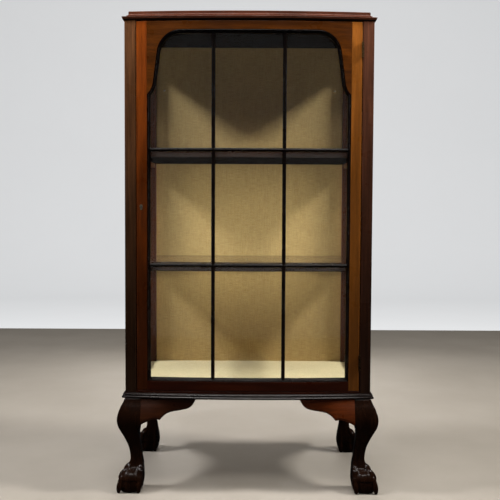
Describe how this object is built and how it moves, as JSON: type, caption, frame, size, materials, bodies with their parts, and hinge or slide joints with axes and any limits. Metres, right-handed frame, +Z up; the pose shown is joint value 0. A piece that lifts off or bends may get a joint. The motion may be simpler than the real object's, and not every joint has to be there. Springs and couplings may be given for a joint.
{
  "type": "china display cabinet",
  "caption": "Bow-fronted mahogany display cabinet on cabriole legs with a hinged, barred glass door, glazed sides, lined interior and wooden shelves.",
  "frame": {"origin": "on the floor under the middle of the case", "axes": "+Z up, front faces -Y, +X to the right seen from the front"},
  "size_m": [0.6234, 0.3944, 1.138],
  "materials": {
    "case_wood": "polished dark mahogany",
    "top_wood": "polished dark mahogany",
    "base_wood": "polished, nearly black",
    "leg_wood": "polished, very dark",
    "bracket_wood": "polished mahogany",
    "door_wood_left": "polished mahogany, orange brown",
    "door_wood_right": "polished mahogany, golden brown",
    "door_rail_wood": "polished mahogany",
    "ebonised_wood": "polished, nearly black",
    "shelf_wood": "polished mahogany",
    "carcase_wood": "stained, unpolished",
    "glass": "clear",
    "back_fabric": "woven, beige",
    "deck_fabric": "woven, cream",
    "brass": "aged"
  },
  "bodies": {
    "case": {"back_bottom_rail": "carcase_wood", "back_lining": "back_fabric", "back_panel": "carcase_wood", "back_post_left": "case_wood", "back_post_right": "case_wood", "back_top_rail": "carcase_wood", "base_moulding_front": "base_wood", "base_moulding_left": "base_wood", "base_moulding_right": "base_wood", "bottom_board": "carcase_wood", "bracket_front_left": "bracket_wood", "bracket_front_right": "bracket_wood", "bracket_side_back_left": "bracket_wood", "bracket_side_back_right": "bracket_wood", "bracket_side_front_left": "bracket_wood", "bracket_side_front_right": "bracket_wood", "deck_lining": "deck_fabric", "door_stops": "case_wood", "front_bottom_rail": "case_wood", "front_post_left": "case_wood", "front_post_right": "case_wood", "hinge_case_leaves": "brass", "hinge_case_screws": "brass", "hinge_pins": "brass", "leg_back_left": "leg_wood", "leg_back_right": "leg_wood", "leg_front_left": "leg_wood", "leg_front_right": "leg_wood", "lining_hooks": "brass", "lock_strike": "brass", "shelf_bearers": "shelf_wood", "shelf_lower": "shelf_wood", "shelf_upper": "shelf_wood", "side_beads_left": "ebonised_wood", "side_beads_right": "ebonised_wood", "side_bottom_rail_left": "case_wood", "side_bottom_rail_right": "case_wood", "side_pane_left": "glass", "side_pane_right": "glass", "side_top_rail_left": "case_wood", "side_top_rail_right": "case_wood", "top_board": "top_wood"},
    "door": {"door_bottom_rail": "door_rail_wood", "door_glazing_beads": "case_wood", "door_moulding": "ebonised_wood", "door_panes_bottom": "glass", "door_panes_middle": "glass", "door_panes_top": "glass", "door_stile_left": "door_wood_left", "door_stile_right": "door_wood_right", "door_top_rail": "door_rail_wood", "glazing_bar_left": "ebonised_wood", "glazing_bar_lower": "ebonised_wood", "glazing_bar_right": "ebonised_wood", "glazing_bar_upper": "ebonised_wood", "hinge_door_leaves": "brass", "hinge_door_screws": "brass", "keyhole_escutcheon": "brass", "lock_case": "brass"},
    "lock_bolt": {"lock_bolt": "brass"}
  },
  "joints": [
    {"name": "door_hinge", "type": "hinge", "parent": "case", "child": "door", "pos_m": [0.2651, -0.17586, 0.68], "axis": [0, 0, 1], "range_deg": [0, 110]},
    {"name": "lock_bolt_slide", "type": "slide", "parent": "door", "child": "lock_bolt", "axis": [-1, 0, 0], "range_m": [0, 0.008]}
  ]
}
